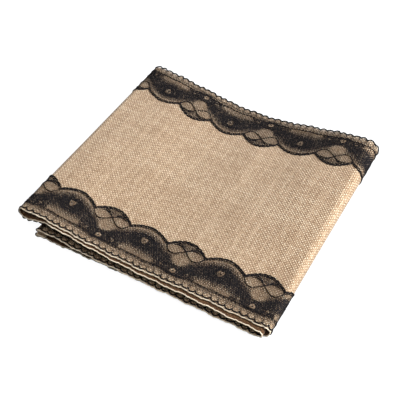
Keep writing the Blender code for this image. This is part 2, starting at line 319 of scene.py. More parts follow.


# %% [markdown]
# ## The jute
#
# The cloth is one closed skin: a flat profile, up one side and down the other with rounded rims, is
# carried along the whole length. Solidify could thicken a single sheet, but then no point would
# know its side, and the wrong side, which shows inside the folds, carries a painted shade: its
# colour is multiplied darker brown. The cross lines lie closer in the folds. One sheet keeps the
# weave running through every fold, as on a real runner.

# %% The cloth as one sheet
RUN_STEP = 0.0034
FOLD_STEPS = {LOWER_HEM_FOLD: 8, UPPER_HEM_FOLD: 8, OUTER_FOLD: 26, LEFT_FOLD: 16, INNER_FOLD: 16}
ACROSS = 78
RIM = 0.0003
WRONG_AT_RIM = 0.4                   # 0 is the right side and 1 the wrong side


def cross_lines(first, last):
    """Distances s of the cross lines from one station to another, closer in the folds."""
    lines = [np.array([length_at(first)])]
    for stretch in range(first, last):
        start, end = length_at(stretch), length_at(stretch + 1)
        steps = FOLD_STEPS.get(stretch, int(np.ceil((end - start) / RUN_STEP)))
        lines.append(start + (end - start) * np.arange(1, steps + 1) / steps)
    return np.concatenate(lines)


def cloth_skin():
    """P(s, k): the profile (y, h) = up the right side, over the rim and down the wrong side."""
    s = cross_lines(0, STRETCHES)
    y = np.linspace(0, CLOTH_WIDTH, ACROSS + 1)
    ring_y = np.concatenate([y, [CLOTH_WIDTH + RIM], y[::-1], [-RIM]])
    half = np.full(ACROSS + 1, CLOTH_THICK / 2)
    ring_h = np.concatenate([half, [0.0], -half, [0.0]])
    grid = placed(s[:, None], ring_y[None, :], ring_h[None, :])
    rows, columns = grid.shape[:2]
    k = np.arange(ACROSS)
    over, under = k, 2 * ACROSS + 2 - k
    caps = []
    for row, order in ((0, 1), (rows - 1, -1)):
        cap = np.stack([over, over + 1, under - 1, under], axis=-1) + row * columns
        rims = [[ACROSS, ACROSS + 1, ACROSS + 2], [columns - 1, 0, 2 * ACROSS + 2]]
        caps += [cap[:, ::order], (np.array(rims) + row * columns)[:, ::order]]
    flat = np.stack(np.broadcast_arrays(s[:, None], ring_y[None, :]), axis=-1).reshape(-1, 2)
    up, down = 0.02 + 0.45 * y / CLOTH_WIDTH, 0.98 - 0.45 * y[::-1] / CLOTH_WIDTH
    across = np.concatenate([up, [0.485], down, [0.01]])
    bake = np.stack(np.broadcast_arrays(0.01 + 0.98 * s[:, None] / CLOTH_LENGTH, across[None, :]), axis=-1)
    walls = quads(rows, columns, wrap_columns=True)
    return piece("jute_cloth_sheet", grid.reshape(-1, 3), [walls, *caps], flat, bake.reshape(-1, 2))


cloth = cloth_skin()
# The side marks steer the painted shade that darkens the wrong side.
profile_side = np.concatenate([np.zeros(ACROSS + 1), [WRONG_AT_RIM], np.ones(ACROSS + 1), [WRONG_AT_RIM]])
side_marks = np.tile(profile_side, len(cloth.data.vertices) // len(profile_side)).astype(np.float32)
cloth.data.attributes.new("wrong_side", "FLOAT", "POINT").data.foreach_set("value", side_marks)

# %% [markdown]
# ## Cords and threads
#
# Edge yarns, lace cords, stitches and loose fibres are all thin round threads on the cloth. A curve
# with a bevel could make one cord, but there are thousands, and each has to follow the folds. One
# function makes them: it takes many paths at once, given flat, folds them, and sets a small ring
# of points at each step. A closed path, such as a ring in the lace, joins its last ring to its first.

# %% Thread helper
PROBE = 1e-4                         # a step off the cloth, to learn which way is out
BAKE_MARGIN = 0.01


def threads(s, y, h, radius, sides=5, closed=False):
    """P = C(t) + r(t) (cos a b + sin a n): rings round the folded paths (paths, steps)."""
    s, y, h, radius = np.broadcast_arrays(s, y, h, radius)
    centre = placed(s, y, h)
    out = placed(s, y, h + PROBE) - centre
    if closed:
        along = np.roll(centre, -1, axis=1) - np.roll(centre, 1, axis=1)
    else:
        along = np.gradient(centre, axis=1)
    beside = np.cross(along, out)
    beside /= np.maximum(np.linalg.norm(beside, axis=-1, keepdims=True), 1e-12)
    out = np.cross(beside, along)
    out /= np.maximum(np.linalg.norm(out, axis=-1, keepdims=True), 1e-12)
    turn = 2 * np.pi * np.arange(sides) / sides
    round_it = np.cos(turn)[:, None] * beside[..., None, :] + np.sin(turn)[:, None] * out[..., None, :]
    points = centre[..., None, :] + radius[..., None, None] * round_it
    paths, steps = s.shape
    one = quads(steps, sides, wrap_rows=closed, wrap_columns=True)
    start = np.arange(paths)[:, None, None] * steps * sides
    faces = [(start + one).reshape(-1, 4)]
    if not closed:
        cap = np.arange(sides)
        faces.append((start[:, :, 0] + cap[::-1]).reshape(-1, sides))
        faces.append((start[:, :, 0] + (steps - 1) * sides + cap).reshape(-1, sides))
    flat = np.repeat(np.stack([s, y], axis=-1).reshape(-1, 2), sides, axis=0)
    return points.reshape(-1, 3), faces, flat


def joined(parts):
    """Several (points, faces, flat) as one."""
    starts = np.cumsum([0] + [len(points) for points, _, _ in parts])
    faces = [face + start for start, (_, group, _) in zip(starts, parts) for face in group]
    return np.concatenate([p for p, _, _ in parts]), faces, np.concatenate([f for _, _, f in parts])


def bake_map(flat):
    """Flat places scaled to fill the unit square, but for a margin."""
    low, high = flat.min(axis=0), flat.max(axis=0)
    return BAKE_MARGIN + (1 - 2 * BAKE_MARGIN) * (flat - low) / np.maximum(high - low, 1e-6)


def thread_piece(name, parts):
    """One piece from several bundles of threads."""
    points, faces, flat = joined(parts)
    return piece(name, points, faces, flat, bake_map(flat))


# %% [markdown]
# ## Edge yarns and loose fibres
#
# On a loom the weft turns round at each edge, so the edge is a thicker bead with a bump at every
# turn. Its yarn is painted paler than the cloth: painted light, for the light that the rim catches.
# Each long edge gets such a yarn, whose radius swells at each thread of the weave. Jute also sheds
# single fibres. A hair system could scatter them, but here they are a mesh: short curved threads,
# all worked out at once.

# %% Edge yarns and loose fibres
YARN_PITCH = 0.0020
EDGE_YARN_RADIUS = 0.00078
YARN_STEP, YARN_END = 0.0006, 0.0004     # between its rings of points, and short of the cloth's end
FRONT_YARN_OUT, REAR_YARN_OUT = 0.0007, 0.0004
FIBRE_LENGTH = 0.0060


def edge_yarn(y, phase):
    """r = R (0.86 + 0.18 |sin(pi s / pitch + phase)|) along the whole edge."""
    s = np.linspace(YARN_END, CLOTH_LENGTH - YARN_END, int(CLOTH_LENGTH / YARN_STEP))[None, :]
    bump = np.abs(np.sin(np.pi * s / YARN_PITCH + phase))
    sway = 0.00012 * np.sin(2 * np.pi * s / 0.0047 + phase)
    return threads(s, y + sway, 0.0, EDGE_YARN_RADIUS * (0.86 + 0.18 * bump), sides=6)


def fibres(count, length, radius, seed, edges_only):
    """Curved hairs: a short path that leaves the cloth and bends over, thinner towards its tip."""
    draw = np.random.default_rng(seed)
    t = np.linspace(0, 1, 6)[None, :]
    s0 = draw.uniform(0.002, CLOTH_LENGTH - 0.002, (count, 1))
    reach = length * draw.uniform(0.3, 1.0, (count, 1))
    heading = draw.uniform(0, 2 * np.pi, (count, 1))
    curl = draw.uniform(-1.6, 1.6, (count, 1))
    if edges_only:
        rear = draw.random((count, 1)) < 0.5
        side = np.where(rear, 1, -1)
        y0 = np.where(rear, CLOTH_WIDTH, 0.0)
        s = s0 + reach * 0.8 * np.cos(heading) * t + 0.3 * reach * curl * t ** 2
        y = y0 + side * reach * (0.25 + 0.55 * np.abs(np.sin(heading))) * t
        h = draw.uniform(-0.0004, 0.0004, (count, 1)) + 0.25 * reach * draw.uniform(-1, 1, (count, 1)) * t
        h = np.clip(h, -0.0008, 0.0010)
    else:
        y0 = draw.uniform(0.004, CLOTH_WIDTH - 0.004, (count, 1))
        s = s0 + reach * (np.cos(heading) * t + 0.4 * curl * np.sin(heading) * t ** 2)
        y = y0 + reach * (np.sin(heading) * t - 0.4 * curl * np.cos(heading) * t ** 2)
        h = CLOTH_THICK / 2 + 0.0003 * np.sin(np.pi * t)
    return threads(s, y, h, radius * (1.05 - t), sides=3)


edge_yarns = thread_piece("jute_edge_yarns", [
    edge_yarn(-FRONT_YARN_OUT, 0.0),
    edge_yarn(CLOTH_WIDTH + REAR_YARN_OUT, 1.3),
])
hairs = thread_piece("loose_jute_fibres", [
    fibres(520, FIBRE_LENGTH, radius=0.00008, seed=3, edges_only=True),
    fibres(900, FIBRE_LENGTH, radius=0.00007, seed=7, edges_only=False),
])

# %% [markdown]
# ## The lace pattern
#
# Both trims are the same machine-made lace: a fine net with denser flowers, and scallops along its
# inner edge. The pattern repeats every 96 mm and mirrors itself about the middle of each flower. A
# see-through picture on a flat strip would pass for lace only from far away, so the pattern is a
# formula that says how much of the net is filled with thread, in millimetres: d along the lace from
# the middle of a flower and w in from its outer edge. Shapes are laid over each other. The small
# outer scallops, the picots, hang over the cloth's edge by the overhang.

# %% Pattern of the lace, in millimetres
REPEAT = 96.0
SCALLOP = REPEAT / 2
PICOT = REPEAT / 11
PICOT_DEPTH = 2.4
DIP = 47.0                                   # depth of the lace between two scallops
FLOWER_RISE, OPEN_RISE = 10.0, 12.5          # how much deeper each kind of scallop is


def phase_of(s, first_dip):
    """Distance d from the nearest flower's middle, for a flat distance s."""
    along = (LEFT_FOLD_LENGTH - s - first_dip) / MM - SCALLOP / 2
    return (along + REPEAT / 2) % REPEAT - REPEAT / 2


def inner_edge(d):
    """w = DIP + rise cos(pi t / SCALLOP)^0.85, with t from the scallop's middle."""
    d = np.abs(d)
    flower = d < SCALLOP / 2
    t = np.where(flower, d, SCALLOP - d)
    wave = np.clip(np.cos(np.pi * t / SCALLOP), 0, 1) ** 0.85
    return DIP + np.where(flower, FLOWER_RISE, OPEN_RISE) * wave


def outer_edge(d, overhang):
    """w = PICOT_DEPTH (1 - |cos(pi d / PICOT)|) - overhang: small scallops that bulge outwards."""
    return PICOT_DEPTH * (1 - np.abs(np.cos(np.pi * d / PICOT))) - overhang


def oval(x, y, a, b):
    """Roughly the distance inside an ellipse of half-axes a and b: (1 - |(x/a, y/b)|) min(a, b)."""
    return (1 - np.hypot(x / a, y / b)) * np.minimum(a, b)


def lay(cover, inside, value, soft=1.0):
    """Blend towards value where inside, a distance in millimetres, is above 0."""
    return cover + (value - cover) * np.clip(inside / soft + 0.5, 0, 1)


def lobed(x, y, a, b, lobes, depth):
    """An ellipse whose radius waves by depth, lobes times round."""
    angle = np.arctan2(y / b, x / a)
    radius = 1 - depth + depth * np.abs(np.cos(lobes * angle / 2))
    return (radius - np.hypot(x / a, y / b)) * np.minimum(a, b)


def cover(d, w, overhang):
    """Share of the net that thread fills at (d, w), from about 0.3 in open net to 1 in a flower."""
    f = np.abs(d)  # from the flower's middle
    g = SCALLOP - f  # from the open scallop's middle
    edge = inner_edge(d)
    c = 0.34 + 0 * f  # open net
    c = lay(c, w - 20, 0.50, 7)  # closer on the inner side
    leaf = 9.5 - np.hypot(*(np.array([f, w]) - along_line(f, w, (16, 30), (42, 18))))
    c = lay(c, leaf, 0.94, 6)
    c = lay(c, w - 48 - 0.2 * g, 0.60, 3)  # scallops
    scallop_eye = np.minimum(oval(f - 35.5, w - 44, 11, 7.5), edge - 3.5 - w)
    c = lay(c, scallop_eye, 0.27, 2)
    c = lay(c, oval(f - 39.5, w - 50.5, 5.5, 1.6), 0.84, 1.5)  # small leaf above it
    c = lay(c, oval(g, w - 31, 9.5, 7.5), 0.22, 3)  # open net below it
    c = lay(c, oval(f, w - 33, 25, 15), 0.86, 11)  # flower, fading outwards
    c = lay(c, lobed(f, w - 33.5, 20, 12, 10, 0.16), 0.97, 3)  # its petals
    c = lay(c, np.minimum(1.6 - np.abs(edge - 5.4 - w), 22 - f), 0.30, 1.2)
    heart = oval(f * (1 + 0.05 * (38 - w)), w - 35.5, 4.4, 4.8)
    c = lay(c, heart, 0.40)
    c = lay(c, oval(f, w - 35.5, 1.4, 1.7), 0.85)  # dot in the heart
    c = lay(c, lobed(g, w - 16, 14, 6.6, 10, 0.2), 0.93, 4)  # ring flower
    ring = np.hypot(g, w - 14.5)
    c = lay(c, 3.6 - ring, 0.05, 0.6)
    scroll = np.maximum(oval(f - 30, w - 15.5, 5, 3.4), oval(f - 24.5, w - 14, 3, 2))
    c = lay(c, scroll, 0.84, 1.5)
    c = lay(c, oval(f - 31, w - 16.5, 1.5, 1.2), 0.35)  # its eye
    dots = np.hypot((d % 4.8) - 2.4, w - 10.8 - 0.7 * np.cos(2 * np.pi * d / 9.6))
    c = lay(c, 1.3 - dots, 0.85, 0.6)
    picot_eye = np.hypot((d + PICOT / 2) % PICOT - PICOT / 2, 1.1 * (w - 4.2 + overhang))
    c = lay(c, 7.6 - overhang - w, 0.62, 1.5)  # outer band
    c = lay(c, 3.3 - picot_eye, 0.08, 0.6)
    return lay(c, w - edge + 2.6, 0.82, 0.8)  # rim of the scallops


def along_line(x, y, start, end):
    """The nearest place to (x, y) on the straight line from start to end."""
    start, end = np.array(start, float), np.array(end, float)
    way = end - start
    t = np.clip(((x - start[0]) * way[0] + (y - start[1]) * way[1]) / (way @ way), 0, 1)
    return np.array([start[0] + way[0] * t, start[1] + way[1] * t])


# %% [markdown]
# ## The net
#
# Real holes are what makes lace. A Wireframe modifier could thin a honeycomb to bars, but all bars
# would be alike. Here neighbouring cells share their corners, and each cell has a hole of its own
# size, so thick and thin threads come from one formula. Where the pattern is dense the hole closes
# to a dimple. The shared corners lie higher than the rim of the hole, so each bar of the net is a
# ridge and catches the light like a round thread. A real net has cells of about 1.5 mm. They are
# too fine to show, so the cells here are 2.1 mm wide. The lace is sewn on by eye, so it drifts up
# to 2 mm out or in along the cloth's edge.

# %% The net, cell by cell
CELL = 2.1                                   # across the flats of a cell, mm
DEEPEST = 60                                 # no cell lies further in than this, mm
CORNER_X = np.array([0, -1, -1, 0, 1, 1])    # in half cells
CORNER_W = np.array([2, 1, -1, -2, -1, 1])   # in half radii
STRAY_X, STRAY_W = 0.34, 0.28                # how far a corner strays along and across, mm
NET_BASE = CLOTH_THICK / 2 + 0.00015
CLOSED = 0.98                                # a cell this full has no hole
MOTTLE = 0.32                                # uneven tension of the net, from corner to corner
TRIMS = {
    "front": {"outer": 0.001, "inward": 1, "first_dip": 0.0275, "overhang": 1.1,
              "drift": (1.8, 0.6, 0.0, 0.0, 0.0, 0.0, 0.0, 0.0, 2.0, 1.0, 0.0, 0.2, 1.2)},
    "rear": {"outer": CLOTH_WIDTH + 0.0025, "inward": -1, "first_dip": 0.0210, "overhang": 0.5,
             "drift": (0.8, 0.6, 0.0, -0.8, -0.4, -1.6, -1.4, 0.0, 1.0, 0.6, 0.0, 0.2, 0.8)},
}
# The drift is in mm, outwards, at these stations of the cloth.
DRIFT_STATION = (LOWER_HEM_FOLD, LOWER_RUN + 0.4, LOWER_RUN + 0.8, TOP_RUN, TOP_RUN + 0.25,
                 TOP_RUN + 0.45, TOP_RUN + 0.8, LEFT_FOLD, SECOND_RUN + 0.12, SECOND_RUN + 0.5,
                 INNER_FOLD, UPPER_RUN + 0.4, UPPER_HEM)


def across(trim, s, w):
    """y = outer edge + w inwards, less the drift that the lace was sewn on with at s."""
    drift = np.interp(np.interp(s, TABLE_LENGTH, TABLE_STATION), DRIFT_STATION, trim["drift"])
    return trim["outer"] + trim["inward"] * (w - drift * MM)


def net(name, trim, first, last):
    """Hexagons with holes: hole corner = centre + sqrt(1 - cover) (corner - centre)."""
    half, radius, overhang = CELL / 2, CELL / np.sqrt(3), trim["overhang"]
    row_step = 1.5 * radius
    low, high = ((length_at(end) - LEFT_FOLD_LENGTH) / MM for end in (first, last))
    columns = np.arange(int(low / CELL) - 1, int(high / CELL) + 2)
    rows = np.arange(-2, int(DEEPEST / row_step) + 1)
    i, j = (part.ravel() for part in np.meshgrid(columns, rows))
    x, w = half * (2 * i + j % 2), row_step * j
    d = phase_of(LEFT_FOLD_LENGTH + x * MM, trim["first_dip"])
    keep = (x >= low) & (x < high) & (w < inner_edge(d) - 0.3) & (w > outer_edge(d, overhang) + 0.2)
    i, j, x, w, d = i[keep], j[keep], x[keep], w[keep], d[keep]

    column, row = (2 * i + j % 2)[:, None] + CORNER_X, 3 * j[:, None] + CORNER_W
    _, first_use, corner = np.unique(row * 100003 + column, return_index=True, return_inverse=True)
    corner = corner.reshape(column.shape)
    column, row = column.ravel()[first_use], row.ravel()[first_use]
    corner_x = half * column + STRAY_X * np.sin(12.9898 * column + 78.233 * row)
    corner_w = radius / 2 * row + STRAY_W * np.sin(39.346 * column + 11.135 * row)
    corner_d = phase_of(LEFT_FOLD_LENGTH + corner_x * MM, trim["first_dip"])
    mottle = np.sin(127.1 * column + 311.7 * row) * 43758.5453 % 1 - 0.5      # the same each run
    filled = np.clip(cover(corner_d, corner_w, overhang) + MOTTLE * mottle, 0.04, 0.99)

    shut = cover(d, w, overhang) > CLOSED
    around = corner[~shut]
    hole = np.sqrt(1 - filled)[around]
    rim_x = x[~shut, None] + hole * (corner_x[around] - x[~shut, None])
    rim_w = w[~shut, None] + hole * (corner_w[around] - w[~shut, None])

    all_x = np.concatenate([corner_x, rim_x.ravel(), x[shut]])
    all_w = np.concatenate([corner_w, rim_w.ravel(), w[shut]])
    ridge = 0.22 + 0.20 * filled
    height = np.concatenate([ridge, np.full(rim_x.size, 0.03), np.full(shut.sum(), 0.24)])
    s = LEFT_FOLD_LENGTH + all_x * MM
    y = across(trim, s, all_w * MM)
    points = placed(s, y, NET_BASE + height * MM)

    k, after = np.arange(6), (np.arange(6) + 1) % 6
    rims = len(corner_x) + np.arange(rim_x.size).reshape(-1, 6)
    bars = np.stack([around[:, k], around[:, after], rims[:, after], rims[:, k]], axis=-1)
    middle = len(corner_x) + rim_x.size + np.arange(shut.sum())[:, None]
    fans = np.stack([corner[shut][:, k], corner[shut][:, after], middle + 0 * k], axis=-1)
    flat = np.stack([s, y], axis=-1)
    faces = [bars.reshape(-1, 4), fans.reshape(-1, 3)]
    return piece(name, points, faces, flat, bake_map(flat), flip=trim["inward"] > 0)


SPANS = {"lower": (LOWER_HEM_FOLD, OUTER_FOLD), "top": (OUTER_FOLD, LEFT_FOLD + 0.5),
         "second": (LEFT_FOLD + 0.5, INNER_FOLD + 0.5), "upper": (INNER_FOLD + 0.5, UPPER_HEM)}
for side, trim in TRIMS.items():
    for span, (first, last) in SPANS.items():
        net(f"{side}_lace_net_{span}", trim, first, last)

# %% [markdown]
# ## The cords in the lace
#
# A thicker cord outlines each motif. It could be drawn as denser net, but a cord stands up from the
# net, and its roundness is what makes the outline crisp. Each motif is a curve in the pattern's own
# millimetres, repeated and mirrored all along the lace: the beaded double cord on the scallops, the
# vine that loops from dip to dip, the flower's petals and heart, the small ring flowers with their
# scrolls, and the outer edge.

# %% Curves of the motifs


def curve(points, steps, closed=False):
    """Catmull-Rom curve through points, steps for each gap between them."""
    points = np.array(points, float)
    if closed:
        points = np.concatenate([points[-1:], points, points[:2]])
    else:
        points = np.concatenate([2 * points[:1] - points[1:2], points, 2 * points[-1:] - points[-2:-1]])
    a, b, c, e = points[:-3, None], points[1:-2, None], points[2:-1, None], points[3:, None]
    t = (np.arange(steps) / steps)[None, :, None]
    square, cube = 2 * a - 5 * b + 4 * c - e, 3 * b - a - 3 * c + e
    path = 0.5 * (2 * b + (c - a) * t + square * t ** 2 + cube * t ** 3)
    path = path.reshape(-1, 2)
    return path if closed else np.concatenate([path, points[-2:-1]])


def loop(x, w, a, b, steps, lobes=0, depth=0.0, turn=0.0):
    """Closed ellipse (x + a r cos t, w + b r sin t), with r = 1 + depth |cos(lobes t / 2)| - depth."""
    t = 2 * np.pi * np.arange(steps) / steps
    r = 1 - depth + depth * np.abs(np.cos(lobes * (t - turn) / 2))
    return np.stack([x + a * r * np.cos(t), w + b * r * np.sin(t)], axis=-1)


VINE = curve([(24, 46.5), (26.3, 41), (31.5, 36.3), (37.5, 36.6), (43, 40.3), (48, 44.6),
              (53, 48.0), (59, 50.2), (64.5, 48.3)], 5)
LEAF = curve([(27.5, 47.5), (32, 51.5), (38, 52.2), (43, 49.5), (48, 44.6)], 4)
FROND = curve([(21, 36), (27, 30.5), (33, 26.5), (38, 22.5)], 4)
LOW_FROND = curve([(20, 25), (27, 23.5), (33, 20.5), (38, 18)], 4)
SCROLL = curve([(37, 11.5), (33, 11.5), (28.5, 13), (27, 16.5), (30, 19.2), (33.5, 17.5), (32, 15),
                (30, 15.6)], 4)
CURL = curve([(27, 13), (24, 11.8), (21.5, 13.5), (23, 16), (25.5, 14.8)], 4)
HEART = curve([(0, 30), (3.2, 33), (4.9, 37), (3.0, 40.2), (0, 39.2), (-3.0, 40.2), (-4.9, 37),
               (-3.2, 33)], 4, True)
MIDDLE_PETALS = loop(0, 34.5, 14.5, 9.6, 60, 12, 0.22, 0.3)
INNER_PETALS = loop(0, 35, 8, 7.0, 40, 8, 0.25)
RING = loop(48, 14.5, 4.2, 4.2, 16)
RING_DOT = loop(48, 14.5, 0.6, 0.6, 8)
RING_PETALS = loop(48, 16, 14.6, 7.2, 60, 10, 0.17)


def mirrored(path, about=0.0):
    """The path and its mirror image about a line across the lace."""
    return np.stack([path, np.stack([2 * about - path[:, 0], path[:, 1]], axis=-1)])


def lace_ends():
    """Where the cords begin and end, just inside the lace's cut ends."""
    return length_at(LOWER_HEM_FOLD) + 0.5 * MM, length_at(UPPER_HEM) - 0.5 * MM


def repeats(path, trim, radius, lift=0.45, closed=False):
    """The path at every repeat of the lace that lies between the hems."""
    paths = path if path.ndim == 3 else path[None]
    flower = LEFT_FOLD_LENGTH - trim["first_dip"] - SCALLOP / 2 * MM
    steps = np.arange(-8, 9)[:, None, None] * REPEAT * MM
    s = flower - steps - paths[None, ..., 0] * MM
    w = np.broadcast_to(paths[None, ..., 1] * MM, s.shape)
    s, w = s.reshape(-1, paths.shape[1]), w.reshape(-1, paths.shape[1])
    low, high = lace_ends()
    inside = (s.min(axis=1) > low) & (s.max(axis=1) < high)
    crossing = ~inside & (s.max(axis=1) > low + 4 * MM) & (s.min(axis=1) < high - 4 * MM)
    s, w = s[inside | crossing], w[inside | crossing]
    s = np.clip(s, low, high)
    y = across(trim, s, w)
    return threads(s, y, CLOTH_THICK / 2 + lift * MM, radius * MM, sides=5, closed=closed)


def long_cord(trim, w_of, step, radius, lift=0.5):
    """One cord from hem to hem, w = w_of(d, q) with q the flat distance in millimetres."""
    low, high = lace_ends()
    s = np.linspace(low, high, int((high - low) / (step * MM)))
    d = phase_of(s, trim["first_dip"])
    y = across(trim, s, w_of(d, s / MM) * MM)
    return threads(s[None], y[None], CLOTH_THICK / 2 + lift * MM, radius * MM, sides=5)


def lace_cords(side, trim):
    """The long cords, then the motifs."""
    edges = [
        long_cord(trim, lambda d, q: inner_edge(d) - 1.6 + 1.3 * np.abs(np.sin(np.pi * q / 5.2)), 0.6, 0.72),
        long_cord(trim, lambda d, q: inner_edge(d) - 3.4 + 0.25 * np.sin(2 * np.pi * q / 3.7), 0.9, 0.40),
        long_cord(trim, lambda d, q: outer_edge(d, trim["overhang"]) + 0.5, 0.6, 0.82),
        long_cord(trim, lambda d, q: 10.8 + 0.9 * np.abs(np.sin(np.pi * q / 4.8)), 0.8, 0.46),
    ]
    motifs = [
        repeats(mirrored(VINE), trim, 0.55, 0.55),
        repeats(mirrored(LEAF), trim, 0.42),
        repeats(mirrored(FROND), trim, 0.30),
        repeats(mirrored(LOW_FROND), trim, 0.30),
        repeats(mirrored(SCROLL), trim, 0.40),
        repeats(mirrored(CURL), trim, 0.36),
        repeats(HEART, trim, 0.42, 0.55, True),
        repeats(MIDDLE_PETALS, trim, 0.34, 0.5, True),
        repeats(INNER_PETALS, trim, 0.36, 0.5, True),
        repeats(RING, trim, 0.40, 0.55, True),
        repeats(RING_DOT, trim, 0.45, 0.5, True),
        repeats(RING_PETALS, trim, 0.38, 0.5, True),
    ]
    return (thread_piece(f"{side}_lace_edge_cords", edges), thread_piece(f"{side}_lace_motif_cords", motifs))


lace_cord_pieces = {side: lace_cords(side, trim) for side, trim in TRIMS.items()}

# %% [markdown]
# ## The stitches
#
# A lockstitch shows a short thread on each side of the cloth, which dives into the cloth at each
# needle hole. A dashed line in the cloth's material could hint at it, but the light would pass over
# it. So a row is many short arches: black along the lace, tan on the hems.

# %% Rows of stitches
STITCH = 0.0028
STITCH_SHARE = 0.86
STITCH_POINTS = 5
THREAD_RADIUS = 0.00021
STITCH_INSET = 0.009
HEM_STITCH_INSET = 0.009
ON_LACE, ON_CLOTH = 0.0005, 0.0001           # height of a stitch above the cloth's face
LACE_CLEAR = 0.060                           # the hems' stitches stop at the lace


def arches(s, y, base, side):
    """h = base + side (0.22 sin(pi t) - 0.10) mm over each stitch."""
    t = np.linspace(0, 1, STITCH_POINTS)[None, :]
    return threads(s, y, base + side * (0.22 * np.sin(np.pi * t) - 0.10) * MM, THREAD_RADIUS, sides=4)


def seam_row(name, trim, side):
    """Stitches along the lace, STITCH_INSET in from its outer edge."""
    low, high = length_at(LOWER_RUN), length_at(UPPER_HEM_FOLD)
    start = np.arange(low, high - STITCH, STITCH)[:, None]
    s = start + STITCH * STITCH_SHARE * np.linspace(0, 1, STITCH_POINTS)[None, :]
    y = trim["outer"] + trim["inward"] * STITCH_INSET + 0 * s
    base = CLOTH_THICK / 2 + ON_LACE if side > 0 else -CLOTH_THICK / 2 - ON_CLOTH
    return thread_piece(name, [arches(s, y, base, side)])


def hem_row(name, s_row, low, high):
    """Stitches across a hem, between the two laces."""
    start = np.arange(low, high - STITCH, STITCH)[:, None]
    y = start + STITCH * STITCH_SHARE * np.linspace(0, 1, STITCH_POINTS)[None, :]
    return thread_piece(name, [arches(s_row + 0 * y, y, CLOTH_THICK / 2 + ON_CLOTH, 1)])


stitch_pieces = {}
for side, trim in TRIMS.items():
    stitch_pieces[f"{side}_lace_needle_thread"] = seam_row(f"{side}_seam_upper_stitches", trim, 1)
    stitch_pieces[f"{side}_lace_bobbin_thread"] = seam_row(f"{side}_seam_under_stitches", trim, -1)
hem_low, hem_high = TRIMS["front"]["outer"] + LACE_CLEAR, TRIMS["rear"]["outer"] - LACE_CLEAR
row_distance = HEM_STITCH_INSET - HEM_RADIUS
for title, fold, way in (("lower", LOWER_HEM_FOLD, 1), ("upper", UPPER_HEM_FOLD, -1)):
    outside = length_at(fold + (1 if way > 0 else 0)) + way * row_distance
    inside = length_at(fold + (0 if way > 0 else 1)) - way * row_distance
    for part, s_row in (("needle", outside), ("bobbin", inside)):
        row = hem_row(f"{title}_hem_{part}_stitches", s_row, hem_low, hem_high)
        stitch_pieces[f"{title}_hem_{part}_thread"] = row

# %% [markdown]
# ## Colours and nodes
#
# Colours are given as sRGB hex values, and one function turns them into the linear values that
# the materials mix. One more function adds a node with its settings and its links.

# %% Colour and node helpers


def linear(code):
    """sRGB hex to linear: c / 12.92 below 0.04045, else ((c + 0.055) / 1.055)^2.4."""
    c = np.array([int(code[k:k + 2], 16) for k in (1, 3, 5)]) / 255
    return (*np.where(c <= 0.04045, c / 12.92, ((c + 0.055) / 1.055) ** 2.4), 1.0)


def add(tree, kind, inputs=None, **settings):
    """Add a node. inputs maps a socket to a value or to another node's output."""
    made = tree.nodes.new("ShaderNode" + kind)
    for key, value in settings.items():
        setattr(made, key, value)
    for key, value in (inputs or {}).items():
        if isinstance(value, bpy.types.NodeSocket):
            tree.links.new(value, made.inputs[key])
        else:
            made.inputs[key].default_value = value
    return made


def finish_of(name, **values):
    """A material with a Principled shader and its constant values."""
    made = bpy.data.materials.new(name)
    made.use_nodes = True
    shader = made.node_tree.nodes["Principled BSDF"]
    for key, value in values.items():
        shader.inputs[key.replace("_", " ")].default_value = value
    return made, made.node_tree, shader


# %% [markdown]
# ## Jute weave
#
# Jute is a coarse bast fibre, spun loosely and woven plain: each thread goes over one and under
# one. It is matt and hairy, and its threads vary in thickness and colour. Where four threads meet
# and dip low, the colour is painted darker: painted shade in the small gaps. Modelled threads
# would take millions of faces, so the weave is a pattern of colour and bump, with threads 2.0 mm
# apart. With a = sin(pi x) and b = sin(pi y) in thread counts, the height of the lengthwise threads
# is |b| + ab and of the crosswise ones |a| - ab. The higher one shows. The lengthwise floats, where
# ab is above 0, are a little prouder, and they are painted a little paler while the crosswise ones
# are painted darker: painted light and shade, for the way the light falls along each.

# %% The woven jute
THREADS_PER_METRE = 1 / YARN_PITCH
JUTE_LIGHT, JUTE_MIDDLE, JUTE_DARK, JUTE_GAP_PAINTED_SHADE = "#eedabc", "#c5a583", "#8e6f50", "#4a3420"
WRONG_SIDE_PAINTED_SHADE = "#967c60"                       # painted shade: multiplies the wrong side darker brown, for the shade inside the folds
THREAD_SWAY = 0.0010                         # threads stray by up to half of this, in metres
LONG_SPREAD, CROSS_SPREAD = 0.45, 0.70       # how much one thread's tone differs from the next
TONE, GRAIN, CLOUD, KNOT, FLOAT = 0.26, 0.20, 0.10, 0.20, 0.22      # their parts in the shade; the last is painted light and shade on the floats
SHADE_BASE = 0.195
GAP_PAINTED_SHADE_STRENGTH = 0.95


